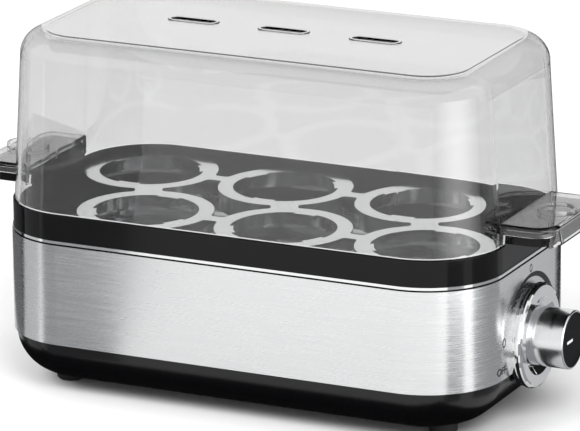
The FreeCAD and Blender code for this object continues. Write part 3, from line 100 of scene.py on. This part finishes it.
# Steel band: one wrap of stainless sheet, brushed along its length and held between pan and rim. The scratches
# run level, so a highlight spreads up and down, and dark reflections end in fine streaks. They are drawn
# coarser than the real 0.1 mm, which is too fine for the picture.


def run_round(look, axis):
    """The scratches of a finish run round this axis."""
    tree = look.node_tree
    tangent = add(tree, "ShaderNodeTangent", direction_type="RADIAL", axis=axis)
    tree.links.new(tangent.outputs[0], tree.nodes["Principled BSDF"].inputs["Tangent"])


brushed_stainless = finish("brushed stainless steel", "#d4d5d6", "#eeefef", grain=0.0005, rough=(0.20, 0.30),
                           relief=0.000004, stretch=(0.03, 0.03, 1.0), Metallic=1.0, Anisotropic=0.5,
                           Anisotropic_Rotation=0.25)
run_round(brushed_stainless, "Z")
dress(brushed_stainless, "steel_band")

# Dial print: black ink, screen printed on the band's right end and baked. A wedge that widens with the cooking
# time runs clockwise round the bezel from the off mark, with an egg at the soft and at the hard end. The ink
# is half dull, so it stays dark where the steel round it shines.

band_reach = 0.110
band_side = 0.060
band_corner = 0.0335
dial_height = 0.0353
ink_thickness = 0.00006
screen_ink = finish("screen-printed ink", "#131315", "#1d1d1f", grain=0.0004, rough=(0.42, 0.56), IOR=1.5)


def band_end(y):
    """How far out the band's right end lies at this y: flat in the middle, then its rounded corner."""
    past = max(0.0, abs(y) - (band_side - band_corner))
    return band_reach - band_corner + math.sqrt(band_corner ** 2 - past ** 2)


def print_on_band(name, corners, faces):
    """A print given by points (y, z) and faces, laid on the band's end, and seen from outside."""
    mesh = bpy.data.meshes.new(name)
    mesh.from_pydata([(band_end(y) + ink_thickness, y, z) for y, z in corners], [], faces)
    mesh.materials.append(screen_ink)
    if mesh.polygons[0].normal.x < 0:
        mesh.flip_normals()
    mark = bpy.data.objects.new(name, mesh)
    bpy.context.scene.collection.objects.link(mark)
    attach(mark, "base")


def settle(made):
    """The evaluated shape of an object as a plain mesh, without its modifiers."""
    depsgraph = bpy.context.evaluated_depsgraph_get()
    mesh = bpy.data.meshes.new_from_object(made.evaluated_get(depsgraph))
    made.modifiers.clear()
    made.data = mesh


wedge_tree = bpy.data.node_groups.new("time wedge", "GeometryNodeTree")
for name, value in (("Inner Radius", 0.0239), ("Widest", 0.0047), ("Start", math.radians(-60)),
                    ("End", math.radians(115)), ("Face", band_reach + ink_thickness), ("Height", dial_height)):
    wedge_tree.interface.new_socket(name, in_out="INPUT", socket_type="NodeSocketFloat").default_value = value
wedge_tree.interface.new_socket("Geometry", in_out="OUTPUT", socket_type="NodeSocketGeometry")
sizes_in = add(wedge_tree, "NodeGroupInput").outputs
grid = add(wedge_tree, "GeometryNodeMeshGrid",
           {"Size X": 1.0, "Size Y": 1.0, "Vertices X": 97, "Vertices Y": 3}).outputs["Mesh"]
spot = add(wedge_tree, "ShaderNodeSeparateXYZ", {0: add(wedge_tree, "GeometryNodeInputPosition").outputs[0]})
along = add(wedge_tree, "ShaderNodeMath", {0: spot.outputs["X"], 1: 0.5}, operation="ADD").outputs[0]
across = add(wedge_tree, "ShaderNodeMath", {0: spot.outputs["Y"], 1: 0.5}, operation="ADD").outputs[0]
turned = add(wedge_tree, "ShaderNodeMapRange", {"Value": along, "To Min": sizes_in["Start"],
                                                "To Max": sizes_in["End"]}).outputs[0]
width = add(wedge_tree, "ShaderNodeMath", {0: along, 1: sizes_in["Widest"]}, operation="MULTIPLY").outputs[0]
radius = add(wedge_tree, "ShaderNodeMath", {0: across, 1: width, 2: sizes_in["Inner Radius"]},
             operation="MULTIPLY_ADD").outputs[0]
sine = add(wedge_tree, "ShaderNodeMath", {0: turned}, operation="SINE").outputs[0]
cosine = add(wedge_tree, "ShaderNodeMath", {0: turned}, operation="COSINE").outputs[0]
sideways = add(wedge_tree, "ShaderNodeMath", {0: radius, 1: sine}, operation="MULTIPLY").outputs[0]
upwards = add(wedge_tree, "ShaderNodeMath", {0: radius, 1: cosine, 2: sizes_in["Height"]},
              operation="MULTIPLY_ADD").outputs[0]
point = add(wedge_tree, "ShaderNodeCombineXYZ",
            {"X": sizes_in["Face"], "Y": sideways, "Z": upwards}).outputs[0]
wedge = add(wedge_tree, "GeometryNodeSetPosition", {"Geometry": grid, "Position": point}).outputs[0]
wedge = add(wedge_tree, "GeometryNodeFlipFaces", {"Mesh": wedge}).outputs[0]
wedge = add(wedge_tree, "GeometryNodeRealizeInstances", {"Geometry": wedge}).outputs[0]
wedge = add(wedge_tree, "GeometryNodeSetMaterial", {"Geometry": wedge, "Material": screen_ink}).outputs[0]
add(wedge_tree, "NodeGroupOutput", {"Geometry": wedge})
time_wedge = bpy.data.objects.new("time_wedge", bpy.data.meshes.new("time_wedge"))
bpy.context.scene.collection.objects.link(time_wedge)
time_wedge.modifiers.new("wedge", "NODES").node_group = wedge_tree
settle(time_wedge)
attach(time_wedge, "base")

egg_points = 28
egg_taper = 0.12
egg_width = 0.76
egg_inside = 0.74


def egg_mark(name, y, z, tall):
    """A small egg drawn in outline: a ring that is narrower at its top."""
    corners = []
    for number in range(egg_points):
        angle = number * math.tau / egg_points
        taper = 1 - egg_taper * math.cos(angle)
        for size in (1.0, egg_inside):
            half = tall * size / 2
            corners.append((y + egg_width * half * taper * math.sin(angle), z + half * math.cos(angle)))
    last = 2 * egg_points
    faces = [(2 * n, 2 * n + 1, (2 * n + 3) % last, (2 * n + 2) % last) for n in range(egg_points)]
    print_on_band(name, corners, faces)


egg_mark("soft_egg_mark", y=-0.0262, z=0.0391, tall=0.0040)
egg_mark("hard_egg_mark", y=0.0012, z=0.0631, tall=0.0034)

off_y = -0.0284
off_z = 0.0262
off_text = bpy.data.curves.new("off_mark", "FONT")
off_text.body = "OFF"
off_text.size = 0.0044
off_text.offset = 0.00008
off_text.align_x = "CENTER"
off_mesh = bpy.data.meshes.new_from_object(bpy.data.objects.new("off_text", off_text))
print_on_band("off_mark", [(off_y + corner.co.x, off_z + corner.co.y) for corner in off_mesh.vertices],
              [tuple(face.vertices) for face in off_mesh.polygons])

# Trim strip: a hoop of bright rolled steel strip, pressed into the groove under the rim. It is smooth, so it
# draws one thin sharp line of light round the housing.

bright_steel = finish("bright rolled steel", "#e9eaea", "#f6f6f6", grain=0.004, rough=(0.08, 0.16),
                      Metallic=1.0)
dress(bright_steel, "trim_strip")

# Upper rim: the collar that closes the housing, moulded in black ABS in a polished tool, with the clamp bars
# screwed into it from below. Its smooth gloss mirrors the table in clean dark bands.

polished_abs = finish("polished black ABS", "#09090a", "#0d0d0e", grain=0.02, rough=(0.10, 0.16), IOR=1.5,
                      Specular_IOR_Level=0.2)
dress(polished_abs, "upper_rim")

# Bowl: deep drawn in stainless steel and clamped up under the rim on a gasket of moulded silicone. The steel's
# satin inside mirrors the rings and the rim softly, and the silicone is a dull warm grey.

satin_stainless = finish("satin stainless steel", "#a4a5a7", "#b3b4b5", grain=0.002, rough=(0.06, 0.11),
                         Metallic=1.0)
dress(satin_stainless, "heating_bowl")
silicone = finish("grey silicone", "#7d7d79", "#8e8e89", grain=0.001, rough=(0.5, 0.62), relief=0.00001,
                  IOR=1.41)
dress(silicone, "bowl_gasket")

# Heating element: a bent steel tube, clamped under the bowl, with steatite beads pressed on its ends. Its own
# heat has browned the steel in cloudy patches, and the beads are chalky.

browned_steel = finish("heat-browned steel", "#4a4038", "#7b6c5e", grain=0.004, rough=(0.35, 0.55),
                       relief=0.00001, Metallic=1.0)
dress(browned_steel, "heating_element")
steatite = finish("steatite ceramic", "#ddd8c9", "#efebe0", grain=0.0006, rough=(0.55, 0.7), relief=0.00002,
                  IOR=1.6)
dress(steatite, "element_insulators")

# Pins, screws, bars, clip, washer and bracket: mild steel, stamped or headed, then zinc plated and passivated.
# The plating is bright grey with a faint blue cast and small cloudy patches.

zinc_plate = finish("zinc-plated steel", "#9fa6ad", "#ccd1d6", grain=0.0012, rough=(0.24, 0.42),
                    relief=0.000008, Metallic=1.0)
dress(zinc_plate, "element_pins", "clamp_bars", "bar_screws", "base_screws", "board_screws", "bracket_screws",
      "control_bracket", "fuse_clip", "control_washer")

# Heat shield: a rolled aluminium sheet between the bowl and the pan, as it left the mill. The rolls leave long
# fine lines and a soft bright sheen.

mill_aluminium = finish("mill-finish aluminium", "#c9cbcd", "#e4e5e6", grain=0.0006, rough=(0.28, 0.4),
                        relief=0.000006, stretch=(0.04, 1.0, 1.0), Metallic=1.0)
dress(mill_aluminium, "heat_shield")

# Thermostat and thermal fuse: a moulded phenolic case and a tinned can, both held under the bowl. The phenolic
# is a mottled half-dull brown, and the tin a smooth pale grey.

phenolic = finish("brown phenolic", "#2c1d14", "#4a3222", grain=0.0005, rough=(0.35, 0.5), relief=0.00001,
                  IOR=1.6)
dress(phenolic, "thermostat")
tin_plate = finish("tin plate", "#c9c9c6", "#e3e3e0", grain=0.001, rough=(0.2, 0.34), Metallic=1.0)
dress(tin_plate, "thermal_fuse")

# Control board: glass laminate under glossy green lacquer, screwed down in the pan. On it stand dull black
# moulded parts, a capacitor in a shiny blue shrunk sleeve, and a header and a terminal block of pale nylon.

solder_lacquer = finish("green solder lacquer", "#0f3a22", "#1c5a36", grain=0.0012, rough=(0.25, 0.36),
                        relief=0.00001, IOR=1.52)
dress(solder_lacquer, "control_board")
moulded_epoxy = finish("black moulded epoxy", "#131314", "#222223", grain=0.0003, rough=(0.45, 0.6),
                       relief=0.00001, IOR=1.55)
dress(moulded_epoxy, "relay", "buzzer", "rotary_control")
shrink_sleeve = finish("blue shrink sleeve", "#12204c", "#1d3270", grain=0.002, rough=(0.22, 0.32), IOR=1.54)
dress(shrink_sleeve, "capacitor")
natural_nylon = finish("natural nylon", "#d9d4c2", "#ece8da", grain=0.001, rough=(0.4, 0.5), relief=0.00001,
                       IOR=1.53)
dress(natural_nylon, "board_connector", "terminal_block")

# Wires: stranded copper in extruded PVC sleeves of the mains colours, and in a white glass braid at the hot
# element. The sleeves have a soft plastic sheen, and the braid is chalky.

for look_name, dark, light, node_name in (
        ("green PVC sleeve", "#2f6a1c", "#3d8325", "earth_wire"),
        ("blue PVC sleeve", "#123a86", "#1a4ba6", "neutral_wire"),
        ("brown PVC sleeve", "#3c2010", "#553018", "live_wire"),
        ("grey PVC sleeve", "#6f7072", "#858688", "control_wire"),
        ("white glass braid", "#c9c6ba", "#f1efe6", "element_wires")):
    dress(finish(look_name, dark, light, grain=0.0006, rough=(0.35, 0.5), relief=0.00002, IOR=1.53), node_name)

# Rotary control: a turned brass nut holds its bush in the bracket, and its shaft is turned from free-cutting
# steel. The lathe leaves fine rings that draw the light out along the length.

turned_brass = finish("turned brass", "#a9853c", "#cfae62", grain=0.0005, rough=(0.2, 0.34),
                      stretch=(1.0, 0.05, 0.05), Metallic=1.0)
dress(turned_brass, "control_nut")
turned_steel = finish("turned steel", "#94979a", "#bcbfc2", grain=0.0004, rough=(0.22, 0.36),
                      stretch=(1.0, 0.05, 0.05), Metallic=1.0)
dress(turned_steel, "control_shaft")

# Bezel: a collar of moulded ABS, plated with bright chrome and set in the band's right end. The chrome mirrors
# the room in hard light and dark bands.

bright_chrome = finish("bright chrome plate", "#e6e7e8", "#f3f3f4", grain=0.01, rough=(0.03, 0.07),
                       Metallic=1.0)
dress(bright_chrome, "bezel_ring")

# Knob: a turned and satin-chromed shell on a core of black nylon, closed by a lacquered cap whose mark is
# filled with paint. The shell's fine lines run round it and soften its bands, the cap stays black, and the
# mark is plain white.

satin_chrome = finish("satin chrome plate", "#d3d5d7", "#f0f1f2", grain=0.0004, rough=(0.14, 0.26),
                      relief=0.000006, stretch=(1.0, 0.03, 0.03), Metallic=1.0, Anisotropic=0.4)
run_round(satin_chrome, "X")
dress(satin_chrome, "knob_shell")
moulded_nylon = finish("black moulded nylon", "#101011", "#19191a", grain=0.0005, rough=(0.4, 0.5),
                       relief=0.00001, IOR=1.53)
dress(moulded_nylon, "knob_core")
cap_lacquer = finish("black satin lacquer", "#08080a", "#0d0d0f", grain=0.0006, rough=(0.40, 0.50), IOR=1.5,
                     Specular_IOR_Level=0.05)
dress(cap_lacquer, "knob_cap")
white_fill = finish("white paint fill", "#dcdcdc", "#f1f1f1", grain=0.0004, rough=(0.4, 0.5), IOR=1.5)
dress(white_fill, "knob_pointer")

# Egg tray: pressed from stainless sheet and polished, and lifted in and out loose. Its flat rings catch the
# light as an even pale grey, and their skirts mirror the dark rim.

tray_stainless = finish("polished tray steel", "#cccdcd", "#d6d7d7", grain=0.002, rough=(0.12, 0.17),
                        Metallic=1.0)
dress(tray_stainless, "egg_tray")

# Lid: one clear SAN moulding with 2 mm walls, standing loose on the rim. The plastic takes a little of the
# light on its way, so white things behind two walls turn light grey, and walls seen edge on darker still.

san_absorption = 90.0
clear_san = finish("clear SAN", "#fdfdfd", "#ffffff", grain=0.02, rough=(0.0, 0.01), IOR=1.57,
                   Transmission_Weight=1.0)
san_tree = clear_san.node_tree
tint = add(san_tree, "ShaderNodeVolumeAbsorption", {"Color": linear("#bcbcbc"), "Density": san_absorption})
san_tree.links.new(tint.outputs[0], san_tree.nodes["Material Output"].inputs["Volume"])
dress(clear_san, "lid")

# Sweep: white paper under the machine and far behind it. It is lit past white for the picture, so metal that
# mirrors it sees a slightly darker tone, and keeps its own shades.


def stage_sheet(name, corners, faces, look):
    """A sheet of the studio from its corners and faces."""
    mesh = bpy.data.meshes.new(name)
    mesh.from_pydata(corners, [], faces)
    mesh.materials.append(look)
    made = bpy.data.objects.new(name, mesh)
    bpy.context.scene.collection.objects.link(made)
    return made


def level_sheet(left, front, right, rear, height):
    """The corners of a level oblong sheet."""
    return [(left, front, height), (right, front, height), (right, rear, height), (left, rear, height)]


one_face = [(0, 1, 2, 3)]
sweep_half = 4.0
sweep_paper = finish("white sweep paper", "#f1f1f1", "#f5f5f5", grain=0.003, rough=(0.8, 0.9))
paper_tree = sweep_paper.node_tree
paper_tone = paper_tree.nodes["Principled BSDF"].inputs["Base Color"]
mirrored_tone = add(paper_tree, "ShaderNodeMix",
                    {0: add(paper_tree, "ShaderNodeLightPath").outputs["Is Glossy Ray"],
                     6: paper_tone.links[0].from_socket, 7: linear("#d8d8d8")}, data_type="RGBA")
paper_tree.links.new(mirrored_tone.outputs[2], paper_tone)
stage_sheet("sweep", level_sheet(-sweep_half, -sweep_half, sweep_half, sweep_half, 0), one_face, sweep_paper)

# Cards: sheets of black and grey card round and over the table. They show only mirrored, in the metal and the
# clear lid, where they draw the grey and dark bands that tell a curved mirror from a flat one. The card
# overhead is seen through the lid as well.


def card_look(name, tone):
    """Card of one flat tone."""
    look = bpy.data.materials.new(name)
    look.use_nodes = True
    tree = look.node_tree
    glow = add(tree, "ShaderNodeEmission", {"Color": linear(tone)})
    tree.links.new(glow.outputs[0], tree.nodes["Material Output"].inputs["Surface"])
    return look


def card_sheet(name, corners, faces, look, seen_through=False):
    """A card that stays out of the picture: it is mirrored, and seen through the lid only if it says so."""
    card = stage_sheet(name, corners, faces, look)
    card.visible_camera = False
    card.visible_diffuse = False
    card.visible_shadow = False
    card.visible_transmission = seen_through


def compass(azimuth):
    """The level direction at this angle from the front, positive to the right."""
    return Vector((math.sin(math.radians(azimuth)), -math.cos(math.radians(azimuth)), 0))


def floor_card(name, first, second, look):
    """A card lying between two lines, each a start point and an azimuth, and bent up at its far end."""
    (a, b), (c, d) = [[Vector((*start, card_lift)) + compass(azimuth) * reach for reach in card_reach]
                      for start, azimuth in (first, second)]
    card_sheet(name, [a, b, d, c, b + card_bend, d + card_bend], [(0, 1, 2, 3), (1, 4, 5, 2)], look)


def standing_card(name, first, last, bottom, top, look):
    """An upright card between two points of the floor plan."""
    corners = [Vector((*end[:2], height)) for end, height in ((first, bottom), (last, bottom), (last, top),
                                                              (first, top))]
    card_sheet(name, corners, one_face, look)


card_lift = 0.001
card_reach = (0.02, 0.6)
card_bend = Vector((0, 0, 0.25))
black_card = card_look("black card", "#1c1c1d")
deep_grey_card = card_look("dark grey card", "#6a6b6d")
grey_card = card_look("grey card", "#9a9b9d")
pale_card = card_look("pale grey card", "#c4c5c7")
# Painted shadow: the black card under the machine stands for the floor's shade round the base. Only
# reflections see it, and the pan mirrors it as black where it curves under.
card_sheet("painted_shadow_card", level_sheet(left=-0.140, front=-0.074, right=0.113, rear=0.074, height=card_lift / 2),
           one_face, black_card)
for name, first, second, look in (
        ("card_front_left", ((-0.0514, -0.060), -25.65), ((-0.087, -0.058), -50), grey_card),
        ("card_left_pale", ((-0.095, -0.055), -54), ((-0.112, -0.045), -84), pale_card),
        ("card_left", ((-0.112, -0.045), -86), ((-0.112, -0.040), -104), black_card),
        ("card_front_right", ((0.095, -0.055), 52), ((0.105, -0.050), 76), grey_card),
        ("card_right", ((0.112, -0.040), 88), ((0.112, 0.0), 138), grey_card),
        ("card_right_pale", ((0.112, 0.0), 140), ((0.112, 0.02), 168), pale_card)):
    floor_card(name, first, second, look)

view_azimuth = 25.65
across = compass(view_azimuth + 90)
behind = compass(view_azimuth + 180)
near_out, near_beyond = 0.150, 0.02
far_out, far_beyond = 0.190, 0.70
for name, side, look in (("card_behind_left", -1, deep_grey_card), ("card_behind_right", 1, black_card)):
    near = across * side * near_out + behind * near_beyond
    far = across * side * far_out + behind * far_beyond
    standing_card(name, near, far, bottom=0, top=0.35, look=look)
card_sheet("card_overhead", level_sheet(left=-0.40, front=-0.30, right=0.40, rear=0.40, height=0.50), one_face,
           deep_grey_card, seen_through=True)
dial_spot = Vector((0.115, 0, 0))
dial_card_distance = 0.35
standing_card("card_behind_dial", dial_spot + compass(130) * dial_card_distance,
              dial_spot + compass(172) * dial_card_distance, bottom=0.07, top=0.45, look=black_card)

# Softbox: a lit white cloth whose sides fade out. It stands where the lid's right front corner mirrors it, and
# draws the soft upright streak there.

softbox_strength = 4.4
softbox_half = 0.22
softbox_distance = 0.30
softbox_facing = compass(68)
softbox_side = Vector((-softbox_facing.y, softbox_facing.x, 0))
corner_axis = Vector((band_reach - band_corner, band_corner - band_side, 0))
softbox_middle = corner_axis + softbox_facing * softbox_distance
softbox_cloth = card_look("softbox cloth", "#ffffff")
cloth_tree = softbox_cloth.node_tree
cloth_place = add(cloth_tree, "ShaderNodeTexCoord").outputs["Object"]
cloth_place = add(cloth_tree, "ShaderNodeVectorMath", {0: cloth_place, 1: softbox_middle},
                  operation="SUBTRACT").outputs[0]
aside = add(cloth_tree, "ShaderNodeVectorMath", {0: cloth_place, 1: softbox_side},
            operation="DOT_PRODUCT").outputs["Value"]
aside = add(cloth_tree, "ShaderNodeMath", {0: aside}, operation="ABSOLUTE").outputs[0]
fade = add(cloth_tree, "ShaderNodeMapRange", {"Value": aside, "From Min": 0.0, "From Max": softbox_half,
                                              "To Min": softbox_strength, "To Max": 1.0},
           interpolation_type="SMOOTHSTEP").outputs[0]
cloth_tree.links.new(fade, cloth_tree.nodes["Emission"].inputs["Strength"])
standing_card("softbox_right", softbox_middle - softbox_side * softbox_half,
              softbox_middle + softbox_side * softbox_half, bottom=0.012, top=0.20, look=softbox_cloth)

# Room and lamps: the room lights the table evenly, and is plain white wherever it is seen. The lamps are
# soft boxes in front, left and right, so that each one fills the other's shadow.

room_light = 0.85
room = bpy.data.worlds.new("white room")
room.use_nodes = True
bpy.context.scene.world = room
room_tree = room.node_tree
rays = add(room_tree, "ShaderNodeLightPath").outputs
seen = add(room_tree, "ShaderNodeMath", {0: rays["Is Camera Ray"], 1: rays["Is Glossy Ray"]},
           operation="ADD").outputs[0]
seen = add(room_tree, "ShaderNodeMath", {0: seen, 1: rays["Is Transmission Ray"]}, operation="ADD",
           use_clamp=True).outputs[0]
level = add(room_tree, "ShaderNodeMapRange", {"Value": seen, "To Min": room_light, "To Max": 1.0}).outputs[0]
room_shader = room_tree.nodes["Background"]
room_shader.inputs["Color"].default_value = linear("#ffffff")
room_tree.links.new(level, room_shader.inputs["Strength"])

lamp_side = 1.1
lamp_watts = 26.0
lamp_aim = Vector((0, 0, 0.07))
for name, place in (("lamp_left", Vector((-0.9, -1.4, 1.5))), ("lamp_right", Vector((1.1, -1.2, 1.5)))):
    lamp = bpy.data.lights.new(name, "AREA")
    lamp.size = lamp_side
    lamp.energy = lamp_watts
    stand = bpy.data.objects.new(name, lamp)
    stand.location = place
    stand.rotation_euler = (lamp_aim - place).to_track_quat("-Z", "Y").to_euler()
    stand.visible_glossy = False
    stand.visible_transmission = False
    bpy.context.scene.collection.objects.link(stand)

# Camera: a long lens 2 m away, turned 25.65 degrees to the right of the front and 16.42 above it, as the
# photograph's straight edges give. Its focal length is known in the picture's pixels.

yaw = math.radians(view_azimuth)
pitch = math.radians(16.42)
roll = math.radians(-0.5)
distance = 2.06019
aim = Vector((0, 0, 0.0666))
aim_right = 0.00184
aim_up = 0.00567
picture_width = 580
focal_pixels = 4961.31
sensor = 36.0
back = Vector((math.sin(yaw) * math.cos(pitch), -math.cos(yaw) * math.cos(pitch), math.sin(pitch)))
level_right = Vector((math.cos(yaw), math.sin(yaw), 0))
level_up = back.cross(level_right)
right = level_right * math.cos(roll) + level_up * math.sin(roll)
up = level_up * math.cos(roll) - level_right * math.sin(roll)
lens = bpy.data.cameras.new("camera")
lens.sensor_width = sensor
lens.lens = focal_pixels * sensor / picture_width
lens.clip_start = 0.05
camera = bpy.data.objects.new("camera", lens)
camera.matrix_world = (Matrix.Translation(aim + right * aim_right + up * aim_up + back * distance)
                       @ Matrix((right, up, back)).transposed().to_4x4())
bpy.context.scene.collection.objects.link(camera)
bpy.context.scene.camera = camera
bpy.context.scene.view_settings.view_transform = "Standard"
